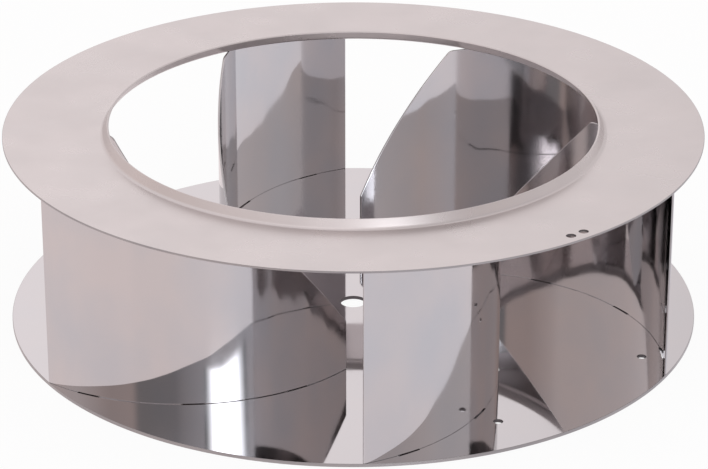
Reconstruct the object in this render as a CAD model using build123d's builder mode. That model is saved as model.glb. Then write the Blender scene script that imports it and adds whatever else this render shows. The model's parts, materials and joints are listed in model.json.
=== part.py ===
from build123d import *
import math
import os

# Centrifugal fan impeller: six curved sheet blades between a backplate and an inlet ring.
# The origin is on the spin axis, at the underside of the backplate, and +Z points to the inlet.

# Overall sizes, in millimetres
wheel_diameter = 400.0  # outer edge of the inlet ring
ring_height = 115.0  # underside of the backplate to the upper edge of the ring's rim

# Backplate
backplate_inset = 1.0  # the rim of the backplate, inside the rim of the ring
backplate_thickness = 2.0
shaft_hole_diameter = 15.0

# Inlet ring, dished a little from its rim in to the inlet, where the sheet turns up into a lip
ring_thickness = 1.2
ring_dish = 2.2  # the foot of the lip, below the rim
inlet_diameter = 279.0
lip_rise = 5.4  # top of the lip above its foot
lip_angle = 60.0  # slope of the lip, in degrees
lip_bend = 2.5  # radius of the upper face at the foot of the lip

# Blades, each rolled to one arc from the outlet edge in to the inlet edge
blade_count = 6
blade_thickness = 1.2
blade_arc_radius = 117.0  # at the middle of the sheet
blade_tip_inset = 0.5  # the outlet edge, inside the rim of the backplate
blade_root_radius = 87.0  # spin axis to the upright part of the inlet edge
blade_wrap_angle = 55.7  # from the outlet edge round to the inlet edge, in degrees
first_tip_angle = 31.5  # outlet edge of the first blade, in degrees from +X
blade_root_height = 31.5  # top of the upright part, above the underside of the backplate
blade_shoulder_inset = 2.0  # the upper corner of the inlet edge, inside the inlet opening
blade_corner_rounding = 3.0

# Tabs under each blade, in slots of the backplate
tab_count = 3
tab_length = 12.0
tab_pitch = 60.0  # along the blade
tab_inset = 27.5  # outlet edge to the middle of the first tab
slot_clearance = 1.0

# Balance holes, drilled where the wheel ran heavy
balance_hole_diameter = 5.0
ring_balance_inset = 7.2  # in from the rim of the ring
ring_balance_angle = 306.6
ring_balance_pitch = 8.9  # between the two holes of the ring
plate_balance_places = [(29.0, 297.6), (20.6, 336.2)]  # inset from the rim, and angle

# Places worked out from the sizes above
ring_radius = wheel_diameter / 2
backplate_radius = ring_radius - backplate_inset
inlet_radius = inlet_diameter / 2
lip_slope = math.tan(math.radians(lip_angle))
lip_top_radius = inlet_radius + ring_thickness * math.sin(math.radians(lip_angle))
lip_foot_radius = lip_top_radius + lip_rise / lip_slope
lip_foot_height = ring_height - ring_dish
lip_top = lip_foot_height + lip_rise
lip_inner_top = lip_top - ring_thickness * math.cos(math.radians(lip_angle))
dish_slope = ring_dish / (ring_radius - lip_foot_radius)
ring_underside = ring_height - ring_thickness * math.hypot(1, dish_slope)  # at the rim
shoulder_radius = inlet_radius - blade_shoulder_inset
shoulder_height = ring_underside - dish_slope * (ring_radius - shoulder_radius)

# Arc of one blade on its own plane, whose X axis runs out through the outlet edge
tip_point = Vector(backplate_radius - blade_tip_inset, 0)
root_point = Vector(blade_root_radius, 0).rotate(Axis.Z, blade_wrap_angle)
chord = root_point - tip_point
arc_depth = math.sqrt(blade_arc_radius**2 - (chord.length / 2) ** 2)
arc_centre = (tip_point + root_point) / 2 + chord.normalized().rotate(Axis.Z, 90) * arc_depth
arc_start = math.degrees(math.atan2(tip_point.Y - arc_centre.Y, tip_point.X - arc_centre.X))
arc_sweep = 2 * math.degrees(math.asin(chord.length / 2 / blade_arc_radius))


def blade_plane(index, height):
    """Horizontal plane at a height, turned so that its X axis runs out through one outlet edge."""
    angle = math.radians(first_tip_angle + index * 360 / blade_count)
    return Plane((0, 0, height), x_dir=(math.cos(angle), math.sin(angle), 0), z_dir=(0, 0, 1))


def along_blade(length):
    """Angle round the axis of the arc that covers a length of the blade."""
    return math.degrees(length / blade_arc_radius)


def arc_band(start, sweep, width):
    """Sketch of a strip that follows the arc of a blade, on the plane of that blade."""
    with BuildSketch() as band:
        with BuildLine():
            inner = CenterArc(arc_centre, blade_arc_radius - width / 2, start, sweep)
            outer = CenterArc(arc_centre, blade_arc_radius + width / 2, start, sweep)
            Line(inner @ 0, outer @ 0)
            Line(inner @ 1, outer @ 1)
        make_face()
    return band.sketch


def tab_bands(clearance):
    """Sketches of the tabs of one blade, or of their slots when there is a clearance."""
    sweep = along_blade(tab_length + 2 * clearance)
    width = blade_thickness + 2 * clearance
    middles = [arc_start + along_blade(tab_inset + number * tab_pitch) for number in range(tab_count)]
    return [arc_band(middle - sweep / 2, sweep, width) for middle in middles]


os.makedirs("parts", exist_ok=True)

# Backplate: a flat disc with the shaft hole, the slots for the tabs and two balance holes
with BuildPart() as backplate:
    with BuildSketch():
        Circle(backplate_radius)
        Circle(shaft_hole_diameter / 2, mode=Mode.SUBTRACT)
        for hole_inset, hole_angle in plate_balance_places:
            with PolarLocations(backplate_radius - hole_inset, 1, start_angle=hole_angle):
                Circle(balance_hole_diameter / 2, mode=Mode.SUBTRACT)
    extrude(amount=backplate_thickness)
    for index in range(blade_count):
        with BuildSketch(blade_plane(index, 0)):
            add(tab_bands(slot_clearance))
        extrude(amount=backplate_thickness, mode=Mode.SUBTRACT)
backplate.part.label = "backplate"
export_step(backplate.part, "parts/backplate.step")

# Inlet ring: one sheet profile turned about the spin axis, from the rim in over the lip and back below
with BuildPart() as inlet_ring:
    inside_drop = lip_inner_top - ring_underside + dish_slope * (ring_radius - inlet_radius)
    inside_foot_radius = inlet_radius + inside_drop / (lip_slope + dish_slope)
    inside_foot_height = lip_inner_top - lip_slope * (inside_foot_radius - inlet_radius)
    with BuildSketch(Plane.XZ):
        with BuildLine():
            FilletPolyline(
                (ring_radius, ring_height),
                (lip_foot_radius, lip_foot_height),
                (lip_top_radius, lip_top),
                (inlet_radius, lip_inner_top),
                (inside_foot_radius, inside_foot_height),
                (ring_radius, ring_underside),
                radius=[lip_bend, 0, 0, lip_bend + ring_thickness],
            )
            Line((ring_radius, ring_underside), (ring_radius, ring_height))
        make_face()
    revolve(axis=Axis.Z)
    balance_radius = ring_radius - ring_balance_inset
    balance_spread = math.degrees(ring_balance_pitch / balance_radius)
    with Locations((0, 0, ring_height)):
        with PolarLocations(balance_radius, 2, ring_balance_angle, balance_spread, endpoint=True):
            Hole(balance_hole_diameter / 2)
inlet_ring.part.label = "inlet_ring"
export_step(inlet_ring.part, "parts/inlet_ring.step")

# Blades: a rolled strip with tabs below, trimmed above to two cones about the spin axis. One cone makes the
# slanting inlet edge, and the other is the underside of the ring.
edge_slope = (shoulder_height - blade_root_height) / (shoulder_radius - blade_root_radius)
cone_apex = blade_root_height - edge_slope * blade_root_radius
for index in range(blade_count):
    with BuildPart() as blade:
        with BuildSketch(blade_plane(index, backplate_thickness)):
            add(arc_band(arc_start, arc_sweep, blade_thickness))
        extrude(amount=ring_underside - backplate_thickness)
        with BuildSketch(blade_plane(index, 0)):
            add(tab_bands(0))
        extrude(amount=backplate_thickness)
        with BuildSketch(Plane.XZ):
            with BuildLine():
                FilletPolyline(
                    (0, cone_apex),
                    (shoulder_radius, shoulder_height),
                    (ring_radius, ring_underside),
                    (ring_radius, lip_top),
                    (0, lip_top),
                    radius=[blade_corner_rounding, 0, 0],
                )
                Line((0, lip_top), (0, cone_apex))
            make_face()
        revolve(axis=Axis.Z, mode=Mode.SUBTRACT)
    blade.part.label = f"blade_{index + 1}"
    export_step(blade.part, f"parts/blade_{index + 1}.step")
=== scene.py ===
import json
import math

import bmesh
import bpy
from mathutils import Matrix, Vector


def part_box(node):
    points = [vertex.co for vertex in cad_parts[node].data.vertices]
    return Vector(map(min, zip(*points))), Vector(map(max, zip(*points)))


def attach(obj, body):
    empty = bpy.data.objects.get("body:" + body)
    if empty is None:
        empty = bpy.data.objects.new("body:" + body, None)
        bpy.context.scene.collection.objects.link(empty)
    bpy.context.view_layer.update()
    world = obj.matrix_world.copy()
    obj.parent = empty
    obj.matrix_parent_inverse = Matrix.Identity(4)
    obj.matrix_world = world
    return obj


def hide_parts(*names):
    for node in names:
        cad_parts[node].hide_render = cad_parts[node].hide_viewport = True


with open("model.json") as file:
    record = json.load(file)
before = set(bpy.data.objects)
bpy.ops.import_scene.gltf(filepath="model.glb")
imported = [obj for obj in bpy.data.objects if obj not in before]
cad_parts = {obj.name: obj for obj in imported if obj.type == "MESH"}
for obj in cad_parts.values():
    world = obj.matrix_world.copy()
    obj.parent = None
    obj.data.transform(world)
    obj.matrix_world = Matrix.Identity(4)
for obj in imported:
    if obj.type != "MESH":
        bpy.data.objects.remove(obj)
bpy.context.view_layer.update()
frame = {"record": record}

# A centrifugal fan impeller of polished stainless sheet, standing on its backplate in a plain studio.
# Everything is in metres. The origin is on the spin axis, at the underside of the backplate.

MM = 0.001

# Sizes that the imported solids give
PLATE_LOW, PLATE_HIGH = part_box("backplate")
_, RING_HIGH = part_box("inlet_ring")
PLATE_RADIUS = PLATE_HIGH.x
PLATE_BASE = PLATE_LOW.z
PLATE_TOP = PLATE_HIGH.z
RING_RADIUS = RING_HIGH.x
LIP_TOP = RING_HIGH.z
SHAFT_BORE = next(mount for mount in frame["record"]["mounts"] if mount["name"] == "shaft_hole")
SHAFT_HOLE_RADIUS = SHAFT_BORE["dims"]["r_mm"] * MM

# Inlet ring, as in the solids: a dished sheet whose inner edge turns up into a lip
RING_THICKNESS = 1.2 * MM
RING_DISH = 2.2 * MM
INLET_RADIUS = 139.5 * MM
LIP_RISE = 5.4 * MM
LIP_ANGLE = math.radians(60)
LIP_BEND = 2.5 * MM
RIM_TOP = LIP_TOP - LIP_RISE + RING_DISH
LIP_TOP_RADIUS = INLET_RADIUS + RING_THICKNESS * math.sin(LIP_ANGLE)
LIP_INNER_TOP = LIP_TOP - RING_THICKNESS * math.cos(LIP_ANGLE)
LIP_FOOT_RADIUS = LIP_TOP_RADIUS + LIP_RISE / math.tan(LIP_ANGLE)
DISH_SLOPE = RING_DISH / (RING_RADIUS - LIP_FOOT_RADIUS)

# Blades, as in the solids
BLADE_COUNT = 6
BLADE_THICKNESS = 1.2 * MM
ARC_RADIUS = 117.0 * MM
TIP_INSET = 0.5 * MM
TIP_RADIUS = PLATE_RADIUS - TIP_INSET
ROOT_RADIUS = 87.0 * MM
WRAP_ANGLE = math.radians(55.7)
FIRST_TIP_ANGLE = math.radians(31.5)
ROOT_HEIGHT = 31.5 * MM
SHOULDER_INSET = 2.0 * MM
SHOULDER_RADIUS = INLET_RADIUS - SHOULDER_INSET
CORNER_ROUNDING = 3.0 * MM

# Tabs under each blade, and their slots
TAB_COUNT = 3
TAB_LENGTH = 12.0 * MM
TAB_PITCH = 60.0 * MM
TAB_INSET = 27.5 * MM
TAB_MIDDLES = [TAB_INSET + number * TAB_PITCH for number in range(TAB_COUNT)]
TAB_MARGIN = 1e-9  # so that the columns at the ends of a tab count as over it
SLOT_CLEARANCE = 1.0 * MM

# Balance holes, as radius and angle
BALANCE_HOLE_RADIUS = 2.5 * MM
RING_HOLE_PLACE = RING_RADIUS - 7.2 * MM
RING_HOLE_ANGLE = math.radians(306.6)
RING_HOLE_SPREAD = 8.9 * MM / RING_HOLE_PLACE
RING_HOLES = [(RING_HOLE_PLACE, RING_HOLE_ANGLE), (RING_HOLE_PLACE, RING_HOLE_ANGLE + RING_HOLE_SPREAD)]
PLATE_HOLES = [
    (PLATE_RADIUS - 29.0 * MM, math.radians(297.6)),
    (PLATE_RADIUS - 20.6 * MM, math.radians(336.2)),
]

# Faint upright ripples that the rolls left in a blade, as (wave length, slope)
RIPPLES = [(11 * MM, 0.002), (17 * MM, 0.004), (29 * MM, 0.008), (47 * MM, 0.009)]
RIPPLE_BLADE_SHIFT = 2.4  # each blade's waves start this much later, in radians
RIPPLE_WAVE_SHIFT = 1.7  # and so does each wave after the one before it

# Finish of the cut edges, and how finely curves are divided
EDGE_ROUND = 0.25 * MM
BLADE_EDGE_ROUND = 0.35 * MM
BLADE_EDGE_ANGLE = math.radians(40)  # edges sharper than this are rounded
EDGE_STEPS = 3
SHARP_ANGLE = math.radians(12)
RIM_SEGMENTS = 540
HOLE_SEGMENTS = 64
BEND_STEPS = 12
BLADE_ROWS = 24
COLUMN_STEP = 1.2 * MM
LEAST_COLUMN_STEP = COLUMN_STEP / 3
CORNER_COLUMN_STEP = CORNER_ROUNDING / 4
CORNER_COLUMNS = range(-3, 3)  # steps from the shoulder of a blade
HALVINGS = 60
DISH_INNER_RADIUS = LIP_FOOT_RADIUS + 2 * LIP_BEND

# The ring's balance holes lie in a patch of the dish of their own, between these radii and rim segments
PATCH_OUTER_RADIUS = RING_RADIUS - 2 * MM
PATCH_INNER_RADIUS = RING_RADIUS - 12 * MM
PATCH_MIDDLE = round((RING_HOLE_ANGLE + RING_HOLE_SPREAD / 2) / math.tau * RIM_SEGMENTS)
PATCH_REACH = 10
PATCH_STEPS = range(PATCH_MIDDLE - PATCH_REACH, PATCH_MIDDLE + PATCH_REACH)

# Material slots of every sheet; the last holds the painted shade on the walls of holes and slots
FACE, CUT_EDGE, HOLE_SHADE = 0, 1, 2

# Arc of one blade, worked out as in the solids: the outlet edge lies on +X
TIP = Vector((TIP_RADIUS, 0))
ROOT = Vector((ROOT_RADIUS * math.cos(WRAP_ANGLE), ROOT_RADIUS * math.sin(WRAP_ANGLE)))
CHORD = ROOT - TIP
ARC_DEPTH = math.sqrt(ARC_RADIUS**2 - (CHORD.length / 2) ** 2)
ARC_CENTRE = (TIP + ROOT) / 2 + Vector((-CHORD.y, CHORD.x)).normalized() * ARC_DEPTH
ARC_START = math.atan2(TIP.y - ARC_CENTRE.y, TIP.x - ARC_CENTRE.x)
ARC_LENGTH = 2 * math.asin(CHORD.length / 2 / ARC_RADIUS) * ARC_RADIUS


# Places on the plan, and heights
def polar(radius, angle):
    return Vector((math.cos(angle), math.sin(angle))) * radius


def turned(point, angle):
    """A plan point turned about the spin axis."""
    return Vector((
        point.x * math.cos(angle) - point.y * math.sin(angle),
        point.x * math.sin(angle) + point.y * math.cos(angle),
    ))


def circle(radius, count, centre=Vector((0, 0))):
    """Plan points of a circle, counter-clockwise."""
    return [centre + polar(radius, math.tau * step / count) for step in range(count)]


def tip_angle(index):
    return FIRST_TIP_ANGLE + index * math.tau / BLADE_COUNT


def blade_point(along, offset=0.0):
    """Place on the plan of a blade: a length from the outlet edge, and an offset outwards from the arc."""
    return ARC_CENTRE + polar(ARC_RADIUS + offset, ARC_START + along / ARC_RADIUS)


def level(height):
    """Height of a flat face, the same at every radius."""
    return lambda radius: height


def ring_top(radius):
    """Height of the upper face of the ring's dish."""
    return RIM_TOP - DISH_SLOPE * (RING_RADIUS - radius)


def ring_underside(radius):
    """Height of the lower face of the ring's dish."""
    return ring_top(radius) - RING_THICKNESS * math.hypot(1, DISH_SLOPE)


# Mesh helpers
def add_loop(mesh, points, height_at, drop=0.0):
    """Closed loop of vertices on a face whose height depends on the radius, or below it."""
    return [mesh.verts.new((point.x, point.y, height_at(point.length) - drop)) for point in points]


def bridge(mesh, first, second, slot, left_out=()):
    """Band of quads between two loops with as many vertices, but for the steps left out."""
    count = len(first)
    for step in range(count):
        if step in left_out:
            continue
        after = (step + 1) % count
        face = mesh.faces.new((first[step], first[after], second[after], second[step]))
        face.material_index = slot


def fill_between(mesh, loops, slot):
    """Face of triangles bounded by an outer loop and the loops of its holes."""
    edges = []
    for loop in loops:
        for step, vert in enumerate(loop):
            after = loop[(step + 1) % len(loop)]
            edges.append(mesh.edges.get((vert, after)) or mesh.edges.new((vert, after)))
    made = bmesh.ops.triangle_fill(mesh, use_beauty=True, edges=edges)
    for face in made["geom"]:
        if isinstance(face, bmesh.types.BMFace):
            face.material_index = slot


def cut_edge(mesh, outline, low, high, slot):
    """Wall of a cut edge with its two corners rounded. Returns its highest and lowest loops.

    The outline takes how far it lies inside the material, and gives plan points. Low and high give the
    heights of the two faces of the sheet at a radius.
    """
    corner = [step / EDGE_STEPS * math.pi / 2 for step in range(EDGE_STEPS + 1)]
    insets = [(1 - math.sin(angle)) * EDGE_ROUND for angle in corner]
    drops = [(1 - math.cos(angle)) * EDGE_ROUND for angle in corner]
    loops = [add_loop(mesh, outline(inset), high, drop) for inset, drop in zip(insets, drops)]
    loops += [add_loop(mesh, outline(inset), low, -drop) for inset, drop in zip(insets[::-1], drops[::-1])]
    for upper, lower in zip(loops, loops[1:]):
        bridge(mesh, upper, lower, slot)
    return loops[0], loops[-1]


def rounded(corners):
    """Polyline whose inner corners, given as (across, up, bend radius), are replaced by arcs."""
    points = [Vector(corner[:2]) for corner in corners]
    radii = [corner[2] for corner in corners]
    line = [points[0]]
    for before, here, after, radius in zip(points, points[1:], points[2:], radii[1:]):
        into = (here - before).normalized()
        away = (after - here).normalized()
        turn = into.angle_signed(away)
        start = here - into * radius * math.tan(abs(turn) / 2)
        centre = start + Vector((into.y, -into.x)) * math.copysign(radius, turn)
        steps = range(BEND_STEPS + 1)
        line += [centre + turned(start - centre, -turn * step / BEND_STEPS) for step in steps]
    line.append(points[-1])
    return line


def finish_mesh(name, mesh, materials):
    """Object of a finished mesh, smooth but for its sharp edges, that rides with the wheel."""
    bmesh.ops.recalc_face_normals(mesh, faces=mesh.faces)
    data = bpy.data.meshes.new(name)
    mesh.to_mesh(data)
    mesh.free()
    data.shade_smooth()
    data.set_sharp_from_angle(angle=SHARP_ANGLE)
    for material in materials:
        data.materials.append(material)
    piece = bpy.data.objects.new(name, data)
    bpy.context.scene.collection.objects.link(piece)
    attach(piece, "root")
    return piece


# Materials
NOISE_LOW, NOISE_HIGH = 0.32, 0.68  # most of a noise texture's values lie between these

# How often each mark changes in a metre along X, Y and Z, and how fine its detail is
CLOUDS, CLOUD_DETAIL = (26, 26, 18), 3.0
SMUDGES, SMUDGE_DETAIL = (34, 34, 22), 4.0
UPRIGHT_GRAIN = (300, 300, 8)
CROSS_GRAIN = (90, 90, 90)
GRAIN_DETAIL = 2.0


def new_material(name):
    material = bpy.data.materials.new(name)
    material.use_nodes = True
    nodes = material.node_tree.nodes
    return material, nodes, material.node_tree.links, nodes["Principled BSDF"]


def set_ramp(ramp, stops):
    """Colour ramp with these (position, colour) stops."""
    elements = ramp.color_ramp.elements
    while len(elements) > 1:
        elements.remove(elements[-1])
    for number, (position, colour) in enumerate(stops):
        element = elements[0] if number == 0 else elements.new(position)
        element.position = position
        element.color = (*colour, 1)


def noise(nodes, links, place, stretch, detail):
    """Noise over the object, with how often it changes in each metre along X, Y and Z."""
    mapping = nodes.new("ShaderNodeMapping")
    mapping.inputs["Scale"].default_value = stretch
    links.new(place, mapping.inputs["Vector"])
    texture = nodes.new("ShaderNodeTexNoise")
    texture.inputs["Scale"].default_value = 1.0
    texture.inputs["Detail"].default_value = detail
    links.new(mapping.outputs["Vector"], texture.inputs["Vector"])
    return texture.outputs["Fac"]


def spread(nodes, links, value, low, high):
    """A noise value stretched to run from one number to another."""
    span = nodes.new("ShaderNodeMapRange")
    span.inputs["From Min"].default_value = NOISE_LOW
    span.inputs["From Max"].default_value = NOISE_HIGH
    span.inputs["To Min"].default_value = low
    span.inputs["To Max"].default_value = high
    links.new(value, span.inputs["Value"])
    return span.outputs["Result"]


def bumped(nodes, links, height, depth):
    """Surface normal of a relief of this depth."""
    bump = nodes.new("ShaderNodeBump")
    bump.inputs["Strength"].default_value = 1.0
    bump.inputs["Distance"].default_value = depth
    links.new(height, bump.inputs["Height"])
    return bump.outputs["Normal"]


def steel(name, warm, cool, roughness, roughness_spread, grain=CROSS_GRAIN, grain_depth=0.0, drawn=0.0):
    """Stainless sheet, clouded in tint and gloss, with a fine grain where that has a depth.

    Sheet that was drawn upright through the rolls smears what it mirrors to the sides.
    """
    material, nodes, links, shader = new_material(name)
    shader.inputs["Metallic"].default_value = 1.0
    shader.inputs["Anisotropic"].default_value = drawn
    tangent = nodes.new("ShaderNodeTangent")
    tangent.direction_type = "RADIAL"
    tangent.axis = "Z"
    links.new(tangent.outputs["Tangent"], shader.inputs["Tangent"])
    place = nodes.new("ShaderNodeTexCoord").outputs["Object"]

    tint = nodes.new("ShaderNodeValToRGB")
    set_ramp(tint, [(NOISE_LOW, cool), (NOISE_HIGH, warm)])
    links.new(noise(nodes, links, place, CLOUDS, CLOUD_DETAIL), tint.inputs["Fac"])
    links.new(tint.outputs["Color"], shader.inputs["Base Color"])

    smudge = noise(nodes, links, place, SMUDGES, SMUDGE_DETAIL)
    gloss = spread(nodes, links, smudge, roughness - roughness_spread, roughness + roughness_spread)
    links.new(gloss, shader.inputs["Roughness"])

    if grain_depth > 0:
        relief = bumped(nodes, links, noise(nodes, links, place, grain, GRAIN_DETAIL), grain_depth)
        links.new(relief, shader.inputs["Normal"])
    return material


BLADE_STEEL = steel(
    "blade_steel",
    warm=(0.620, 0.586, 0.582),
    cool=(0.556, 0.556, 0.575),
    roughness=0.06,
    roughness_spread=0.02,
    grain=UPRIGHT_GRAIN,
    grain_depth=0.002 * MM,
    drawn=0.9,
)
PLATE_STEEL = steel(
    "plate_steel",
    warm=(0.620, 0.600, 0.608),
    cool=(0.610, 0.597, 0.610),
    roughness=0.035,
    roughness_spread=0.015,
)
RING_STEEL = steel(
    "ring_steel",
    warm=(0.645, 0.602, 0.596),
    cool=(0.615, 0.578, 0.573),
    roughness=0.30,
    roughness_spread=0.04,
)
EDGE_STEEL = steel(
    "edge_steel",
    warm=(0.42, 0.40, 0.40),
    cool=(0.36, 0.345, 0.35),
    roughness=0.30,
    roughness_spread=0.08,
    grain_depth=0.01 * MM,
)
# Walls of the holes and slots: painted shade, a dark steel that stands in for the shadow under the plate and
# the ring, seen through them
HOLE_SHADE_STEEL = steel(
    "hole_wall_painted_shade",
    warm=(0.17, 0.155, 0.155),
    cool=(0.11, 0.10, 0.105),
    roughness=0.45,
    roughness_spread=0.08,
    grain_depth=0.02 * MM,
)


# Backplate
def slot_outline(angle, middle):
    """Outline of one slot of the backplate, along the arc of a blade."""
    def outline(inset):
        grow = SLOT_CLEARANCE - inset
        ends = TAB_LENGTH / 2 + grow
        side = BLADE_THICKNESS / 2 + grow
        steps = [middle - ends + 2 * ends * step / BEND_STEPS for step in range(BEND_STEPS + 1)]
        outer = [blade_point(along, side) for along in steps]
        inner = [blade_point(along, -side) for along in reversed(steps)]
        return [turned(point, angle) for point in outer + inner]
    return outline


def hole_outline(radius, centre):
    return lambda inset: circle(radius + inset, HOLE_SEGMENTS, centre)


def rim_outline(radius):
    return lambda inset: circle(radius - inset, RIM_SEGMENTS)


def build_backplate():
    """Flat disc with the shaft hole, two balance holes and the slots for the tabs."""
    mesh = bmesh.new()
    holes = [hole_outline(SHAFT_HOLE_RADIUS, Vector((0, 0)))]
    holes += [hole_outline(BALANCE_HOLE_RADIUS, polar(*place)) for place in PLATE_HOLES]
    for index in range(BLADE_COUNT):
        holes += [slot_outline(tip_angle(index), middle) for middle in TAB_MIDDLES]
    low = level(PLATE_BASE)
    high = level(PLATE_TOP)
    walls = [cut_edge(mesh, rim_outline(PLATE_RADIUS), low, high, CUT_EDGE)]
    # the walls of the holes and slots take the painted shade
    walls += [cut_edge(mesh, outline, low, high, HOLE_SHADE) for outline in holes]
    fill_between(mesh, [upper for upper, lower in walls], FACE)
    fill_between(mesh, [lower for upper, lower in walls], FACE)
    piece = finish_mesh("wheel_backplate", mesh, [PLATE_STEEL, EDGE_STEEL, HOLE_SHADE_STEEL])
    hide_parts("backplate")


# Inlet ring
def lip_profile():
    """Section of the lip as (radius, height), from the dish over its top, and back under the sheet."""
    inside_slope = math.tan(LIP_ANGLE) + DISH_SLOPE
    inside_foot = INLET_RADIUS + (LIP_INNER_TOP - ring_underside(INLET_RADIUS)) / inside_slope
    return rounded([
        (DISH_INNER_RADIUS, ring_top(DISH_INNER_RADIUS), 0),
        (LIP_FOOT_RADIUS, ring_top(LIP_FOOT_RADIUS), LIP_BEND),
        (LIP_TOP_RADIUS, LIP_TOP, EDGE_ROUND),
        (INLET_RADIUS, LIP_INNER_TOP, EDGE_ROUND),
        (inside_foot, ring_underside(inside_foot), LIP_BEND + RING_THICKNESS),
        (DISH_INNER_RADIUS, ring_underside(DISH_INNER_RADIUS), 0),
    ])


def build_dish(mesh, height_at, rim, lip, hole_loops):
    """One face of the ring's dish, from the rim in to the lip, with the balance holes in one patch of it."""
    outer = add_loop(mesh, circle(PATCH_OUTER_RADIUS, RIM_SEGMENTS), height_at)
    inner = add_loop(mesh, circle(PATCH_INNER_RADIUS, RIM_SEGMENTS), height_at)
    bridge(mesh, rim, outer, FACE)
    bridge(mesh, outer, inner, FACE, PATCH_STEPS)
    bridge(mesh, inner, lip, FACE)
    ends = range(PATCH_STEPS.start, PATCH_STEPS.stop + 1)
    border = [outer[step] for step in ends] + [inner[step] for step in reversed(ends)]
    fill_between(mesh, [border] + hole_loops, FACE)


def build_ring():
    """Dished ring with the lip round the inlet and two balance holes."""
    mesh = bmesh.new()
    lip = [add_loop(mesh, circle(point.x, RIM_SEGMENTS), level(point.y)) for point in lip_profile()]
    for before, after in zip(lip, lip[1:]):
        bridge(mesh, before, after, FACE)
    rim = cut_edge(mesh, rim_outline(RING_RADIUS), ring_underside, ring_top, CUT_EDGE)
    holes = [hole_outline(BALANCE_HOLE_RADIUS, polar(*place)) for place in RING_HOLES]
    # the walls of the balance holes take the painted shade
    walls = [cut_edge(mesh, outline, ring_underside, ring_top, HOLE_SHADE) for outline in holes]
    build_dish(mesh, ring_top, rim[0], lip[0], [upper for upper, lower in walls])
    build_dish(mesh, ring_underside, rim[1], lip[-1], [lower for upper, lower in walls])
    piece = finish_mesh("wheel_inlet_ring", mesh, [RING_STEEL, EDGE_STEEL, HOLE_SHADE_STEEL])
    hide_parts("inlet_ring")


# Blades
def blade_edge():
    """Upper edge of a blade as (radius, height): up the slanting inlet edge, and out under the ring."""
    slope = (ring_underside(SHOULDER_RADIUS) - ROOT_HEIGHT) / (SHOULDER_RADIUS - ROOT_RADIUS)
    inside = ROOT_RADIUS - BLADE_THICKNESS
    return rounded([
        (inside, ROOT_HEIGHT - slope * BLADE_THICKNESS, 0),
        (SHOULDER_RADIUS, ring_underside(SHOULDER_RADIUS), CORNER_ROUNDING),
        (RING_RADIUS, ring_underside(RING_RADIUS), 0),
    ])


def height_on(line, radius):
    """Height of a line of (radius, height) points at a radius."""
    for near, far in zip(line, line[1:]):
        if near.x <= radius <= far.x:
            return near.y + (far.y - near.y) * (radius - near.x) / (far.x - near.x)


def along_at(radius):
    """Length from the outlet edge at which the blade is this far from the spin axis."""
    low, high = 0.0, ARC_LENGTH
    for _ in range(HALVINGS):
        middle = (low + high) / 2
        if blade_point(middle).length > radius:
            low = middle
        else:
            high = middle
    return (low + high) / 2


def blade_columns():
    """Lengths from the outlet edge at which the mesh has a column, with the ones that its outline needs."""
    corner = along_at(SHOULDER_RADIUS)
    needed = [0.0, ARC_LENGTH]
    needed += [middle + side * TAB_LENGTH / 2 for middle in TAB_MIDDLES for side in (-1, 1)]
    needed += [corner + step * CORNER_COLUMN_STEP for step in CORNER_COLUMNS]
    count = round(ARC_LENGTH / COLUMN_STEP)
    even = [ARC_LENGTH * step / count for step in range(count + 1)]
    clear = [along for along in even if min(abs(along - other) for other in needed) > LEAST_COLUMN_STEP]
    return sorted(set(needed + clear))


def over_tab(along):
    """Whether a length from the outlet edge lies over one of the tabs."""
    return any(abs(along - middle) <= TAB_LENGTH / 2 + TAB_MARGIN for middle in TAB_MIDDLES)


def ripple(along, index):
    """How far the sheet of one blade stands out of its arc, at a length from the outlet edge."""
    offset = 0.0
    for wave, (length, slope) in enumerate(RIPPLES):
        start = RIPPLE_BLADE_SHIFT * index + RIPPLE_WAVE_SHIFT * wave
        offset += slope * length / math.tau * math.sin(math.tau * along / length + start)
    return offset


def blade_grid(index):
    """Mesh of the middle of one blade's sheet: upright columns from the plate to the edge, and the tabs."""
    mesh = bmesh.new()
    columns = blade_columns()
    upper_edge = blade_edge()
    grid = []
    feet = []
    for along in columns:
        point = turned(blade_point(along, ripple(along, index)), tip_angle(index))
        top = height_on(upper_edge, point.length)
        heights = [PLATE_TOP + (top - PLATE_TOP) * row / BLADE_ROWS for row in range(BLADE_ROWS + 1)]
        grid.append([mesh.verts.new((point.x, point.y, height)) for height in heights])
        feet.append(mesh.verts.new((point.x, point.y, PLATE_BASE)) if over_tab(along) else None)
    for place, (left, right) in enumerate(zip(grid, grid[1:])):
        for row in range(BLADE_ROWS):
            mesh.faces.new((left[row], right[row], right[row + 1], left[row + 1]))
        if over_tab((columns[place] + columns[place + 1]) / 2):
            mesh.faces.new((feet[place], feet[place + 1], right[0], left[0]))
    return mesh


def thickened(mesh, materials):
    """Solid sheet round a mesh of its middle, with its edges rounded."""
    data = bpy.data.meshes.new("blade_sheet")
    mesh.to_mesh(data)
    mesh.free()
    for material in materials:
        data.materials.append(material)
    sheet = bpy.data.objects.new("blade_sheet", data)
    bpy.context.scene.collection.objects.link(sheet)
    thick = sheet.modifiers.new("thickness", "SOLIDIFY")
    thick.thickness = BLADE_THICKNESS
    thick.offset = 0.0
    thick.use_even_offset = True
    thick.material_offset_rim = CUT_EDGE
    edge = sheet.modifiers.new("edges", "BEVEL")
    edge.width = BLADE_EDGE_ROUND
    edge.segments = EDGE_STEPS
    edge.limit_method = "ANGLE"
    edge.angle_limit = BLADE_EDGE_ANGLE
    edge.material = FACE
    bpy.context.view_layer.update()
    made = bpy.data.meshes.new_from_object(sheet.evaluated_get(bpy.context.evaluated_depsgraph_get()))
    bpy.data.objects.remove(sheet)
    solid = bmesh.new()
    solid.from_mesh(made)
    bpy.data.meshes.remove(made)
    return solid


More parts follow.
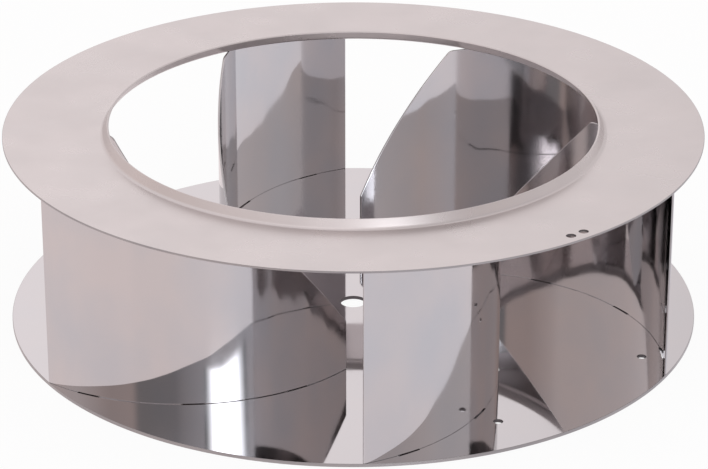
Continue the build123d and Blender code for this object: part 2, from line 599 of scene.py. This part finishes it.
def build_blade(index):
    """One rolled blade between the plate and the ring."""
    name = f"blade_{index + 1}"
    materials = [BLADE_STEEL, EDGE_STEEL]
    solid = thickened(blade_grid(index), materials)
    piece = finish_mesh(f"wheel_{name}", solid, materials)
    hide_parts(name)


# Studio
WHITE = (1.0, 1.0, 1.0)
BLACK = (0.0, 0.0, 0.0)


def shader_mix(nodes, links, share, first, second):
    """Blend of two shaders, by a fixed share or by a socket."""
    mix = nodes.new("ShaderNodeMixShader")
    if isinstance(share, float):
        mix.inputs["Fac"].default_value = share
    else:
        links.new(share, mix.inputs["Fac"])
    links.new(first, mix.inputs[1])
    links.new(second, mix.inputs[2])
    return mix.outputs["Shader"]


def stage_plane(name, corners, material):
    """Flat four-cornered thing of the studio, which isn't part of the object."""
    data = bpy.data.meshes.new(name)
    data.from_pydata(corners, [], [(0, 1, 2, 3)])
    data.materials.append(material)
    plane = bpy.data.objects.new(name, data)
    bpy.context.scene.collection.objects.link(plane)
    return plane


# Floor
FLOOR_HALF = 30.0
FLOOR_DROP = 0.2 * MM
FLOOR_PAPER = (0.92, 0.92, 0.92)
FLOOR_SHOWN = 0.93  # share of plain white to the eye; the rest is lit paper, which has the shadow
# Painted light in the floor's glow as the metal mirrors it: warm light on the left, and the lamp's cool
# light on the right
FLOOR_PAINTED_WARM_LIGHT = (1.0, 0.900, 0.905)  # to the left of the wheel, as the metal mirrors it
FLOOR_PAINTED_LAMP_LIGHT = (0.95, 0.915, 0.965)  # to the right, near the lamp
FLOOR_CHANGE = 0.12  # the tint changes over this distance to both sides of the middle
FLOOR_GLOW = 0.86  # share of that tint in the mirrored floor; the rest is lit paper
FLOOR_GLEAM = 0.13  # share of gloss over both
FLOOR_GLEAM_ROUGHNESS = 0.12


def painted_floor_light(nodes, links):
    """Painted light in the glow of the floor as the metal mirrors it: warm light on the left and the lamp's
    cool light on the right.
    """
    axes = nodes.new("ShaderNodeSeparateXYZ")
    links.new(nodes.new("ShaderNodeTexCoord").outputs["Object"], axes.inputs["Vector"])
    across = nodes.new("ShaderNodeMapRange")
    across.inputs["From Min"].default_value = -FLOOR_CHANGE
    across.inputs["From Max"].default_value = FLOOR_CHANGE
    links.new(axes.outputs["X"], across.inputs["Value"])
    tint = nodes.new("ShaderNodeValToRGB")
    set_ramp(tint, [(0.0, FLOOR_PAINTED_WARM_LIGHT), (1.0, FLOOR_PAINTED_LAMP_LIGHT)])
    links.new(across.outputs["Result"], tint.inputs["Fac"])
    glow = nodes.new("ShaderNodeEmission")
    links.new(tint.outputs["Color"], glow.inputs["Color"])
    return glow.outputs["Emission"]


def floor_material():
    """Pale glossy paper: white to the eye with a soft shadow, tinted with painted light in the metal, and
    clear from below.
    """
    material, nodes, links, shader = new_material("floor_paper")
    nodes.remove(shader)
    paper = nodes.new("ShaderNodeBsdfDiffuse")
    paper.inputs["Color"].default_value = (*FLOOR_PAPER, 1)
    lit = paper.outputs["BSDF"]
    plain = nodes.new("ShaderNodeEmission")
    plain.inputs["Color"].default_value = (*WHITE, 1)
    shown = shader_mix(nodes, links, FLOOR_SHOWN, lit, plain.outputs["Emission"])
    gleam = nodes.new("ShaderNodeBsdfGlossy")
    gleam.inputs["Roughness"].default_value = FLOOR_GLEAM_ROUGHNESS
    # the glow that the metal mirrors carries painted light, warm on the left and cool near the lamp
    tinted = shader_mix(nodes, links, FLOOR_GLOW, lit, painted_floor_light(nodes, links))
    mirrored = shader_mix(nodes, links, FLOOR_GLEAM, tinted, gleam.outputs["BSDF"])

    rays = nodes.new("ShaderNodeLightPath")
    from_metal = nodes.new("ShaderNodeMath")
    from_metal.operation = "MAXIMUM"
    links.new(rays.outputs["Is Glossy Ray"], from_metal.inputs[0])
    links.new(rays.outputs["Is Transmission Ray"], from_metal.inputs[1])
    unseen = shader_mix(nodes, links, from_metal.outputs[0], lit, mirrored)
    upper = shader_mix(nodes, links, rays.outputs["Is Camera Ray"], unseen, shown)
    clear = nodes.new("ShaderNodeBsdfTransparent").outputs["BSDF"]
    below = nodes.new("ShaderNodeNewGeometry").outputs["Backfacing"]
    surface = shader_mix(nodes, links, below, upper, clear)
    links.new(surface, nodes["Material Output"].inputs["Surface"])
    return material


def build_floor():
    signs = [(-1, -1), (1, -1), (1, 1), (-1, 1)]
    corners = [(x * FLOOR_HALF, y * FLOOR_HALF, -FLOOR_DROP) for x, y in signs]
    stage_plane("floor", corners, floor_material())


# Light of the white tent's walls by direction round the object, as (degrees from +X, brightness, tint).
# The back wall is the brightest, and the front, from 243 to 282 degrees, is open to the dark room.
PALE = (1.0, 0.945, 0.953)
WARM = (1.0, 0.890, 0.868)
TAWNY = (1.0, 0.82, 0.77)
COOL = (0.95, 0.93, 0.98)
TENT_WALLS = [
    (0, 0.80, PALE), (20, 0.80, PALE), (50, 0.86, PALE), (76, 0.80, PALE), (83, 0.90, PALE),
    (90, 1.07, PALE), (98, 1.12, PALE), (108, 0.96, PALE), (150, 0.90, WARM), (180, 0.83, WARM),
    (208, 0.79, WARM), (225, 0.60, TAWNY), (240, 0.62, TAWNY), (243, 0.31, PALE), (265, 0.33, COOL),
    (282, 0.66, COOL), (306, 0.75, COOL), (325, 0.74, WARM),
]
# The same for the roof, which is dimmer on the right
TENT_ROOF = [
    (0, 0.66, PALE), (90, 0.97, PALE), (180, 0.95, PALE), (225, 1.08, PALE), (255, 1.2, PALE),
    (285, 1.15, PALE), (305, 0.95, PALE), (330, 0.66, PALE),
]
ROOF_START = math.sin(math.radians(28))  # from this height up to the next the walls turn into the roof
ROOF_END = math.sin(math.radians(33))


def turn_share(nodes, links, axes):
    """Direction round the object as a share of one turn from +X."""
    around = nodes.new("ShaderNodeMath")
    around.operation = "ARCTAN2"
    links.new(axes.outputs["Y"], around.inputs[0])
    links.new(axes.outputs["X"], around.inputs[1])
    turns = nodes.new("ShaderNodeMath")
    turns.operation = "DIVIDE"
    turns.inputs[1].default_value = math.tau
    links.new(around.outputs[0], turns.inputs[0])
    share = nodes.new("ShaderNodeMath")
    share.operation = "FRACT"
    links.new(turns.outputs[0], share.inputs[0])
    return share.outputs[0]


def around_ramp(nodes, links, share, light):
    """Colour by direction round the object, from (degrees, brightness, tint) stops."""
    ramp = nodes.new("ShaderNodeValToRGB")
    stops = [(degrees / 360, [brightness * part for part in tint]) for degrees, brightness, tint in light]
    set_ramp(ramp, stops + [(1.0, stops[0][1])])
    links.new(share, ramp.inputs["Fac"])
    return ramp.outputs["Color"]


def build_world():
    """White tent round the object, brightest behind it, and open to a dark room in front."""
    world = bpy.data.worlds.new("studio")
    bpy.context.scene.world = world
    world.use_nodes = True
    nodes = world.node_tree.nodes
    links = world.node_tree.links
    axes = nodes.new("ShaderNodeSeparateXYZ")
    links.new(nodes.new("ShaderNodeTexCoord").outputs["Generated"], axes.inputs["Vector"])
    share = turn_share(nodes, links, axes)
    height = nodes.new("ShaderNodeMapRange")
    height.inputs["From Min"].default_value = ROOF_START
    height.inputs["From Max"].default_value = ROOF_END
    links.new(axes.outputs["Z"], height.inputs["Value"])
    tent = nodes.new("ShaderNodeMix")
    tent.data_type = "RGBA"
    links.new(height.outputs["Result"], tent.inputs["Factor"])
    links.new(around_ramp(nodes, links, share, TENT_WALLS), tent.inputs["A"])
    links.new(around_ramp(nodes, links, share, TENT_ROOF), tent.inputs["B"])
    seen = nodes.new("ShaderNodeMix")
    seen.data_type = "RGBA"
    links.new(nodes.new("ShaderNodeLightPath").outputs["Is Camera Ray"], seen.inputs["Factor"])
    links.new(tent.outputs["Result"], seen.inputs["A"])
    seen.inputs["B"].default_value = (*WHITE, 1)
    links.new(seen.outputs["Result"], nodes["Background"].inputs["Color"])


# Lamp
LAMP_PLACE = Vector((0.270, -0.975, 0.440))  # middle of the lower edge
LAMP_WIDTH = 0.46
LAMP_HEIGHT = 0.18
LAMP_LEAN = 0.5  # towards the object, for each part upwards
LAMP_LIGHT = 6.0
LAMP_TINT = (0.92, 0.96, 1.0)
LAMP_CORE = (0.32, 0.68)  # the bright part of its width, from which the lamp dims to nothing at both sides


def softbox_material():
    """Glowing cloth, bright in the middle of its width and dark at both sides."""
    material, nodes, links, shader = new_material("softbox_cloth")
    nodes.remove(shader)
    axes = nodes.new("ShaderNodeSeparateXYZ")
    links.new(nodes.new("ShaderNodeTexCoord").outputs["Generated"], axes.inputs["Vector"])
    cloth = nodes.new("ShaderNodeValToRGB")
    cloth.color_ramp.interpolation = "EASE"
    set_ramp(cloth, [(0.0, BLACK), (LAMP_CORE[0], LAMP_TINT), (LAMP_CORE[1], LAMP_TINT), (1.0, BLACK)])
    links.new(axes.outputs["X"], cloth.inputs["Fac"])
    glow = nodes.new("ShaderNodeEmission")
    glow.inputs["Strength"].default_value = LAMP_LIGHT
    links.new(cloth.outputs["Color"], glow.inputs["Color"])
    links.new(glow.outputs["Emission"], nodes["Material Output"].inputs["Surface"])
    return material


def build_softbox():
    """Soft lamp in front, to the right of the camera, seen as the highlight in the polished blades."""
    inward = Vector((-LAMP_PLACE.x, -LAMP_PLACE.y, 0)).normalized()
    right = Vector((inward.y, -inward.x, 0))
    up = (Vector((0, 0, 1)) + inward * LAMP_LEAN).normalized()
    low_left = LAMP_PLACE - right * LAMP_WIDTH / 2
    low_right = LAMP_PLACE + right * LAMP_WIDTH / 2
    corners = [low_left, low_right, low_right + up * LAMP_HEIGHT, low_left + up * LAMP_HEIGHT]
    lamp = stage_plane("softbox", corners, softbox_material())
    lamp.visible_camera = False


# Camera
CAMERA_PLACE = Vector((0.0004, -1.6788, 0.8070))
CAMERA_AIM = Vector((0.0004, 0.0, 0.0452))
CAMERA_LENS = 161.3
SENSOR_WIDTH = 36.0


def build_camera():
    """Camera at the photograph's place: a long lens, looking down a little."""
    data = bpy.data.cameras.new("camera")
    data.sensor_width = SENSOR_WIDTH
    data.lens = CAMERA_LENS
    camera = bpy.data.objects.new("camera", data)
    camera.location = CAMERA_PLACE
    camera.rotation_euler = (CAMERA_AIM - CAMERA_PLACE).to_track_quat("-Z", "Y").to_euler()
    bpy.context.scene.collection.objects.link(camera)
    bpy.context.scene.camera = camera


build_backplate()
build_ring()
for blade_index in range(BLADE_COUNT):
    build_blade(blade_index)
build_floor()
build_world()
build_softbox()
build_camera()
bpy.context.scene.view_settings.view_transform = "Standard"
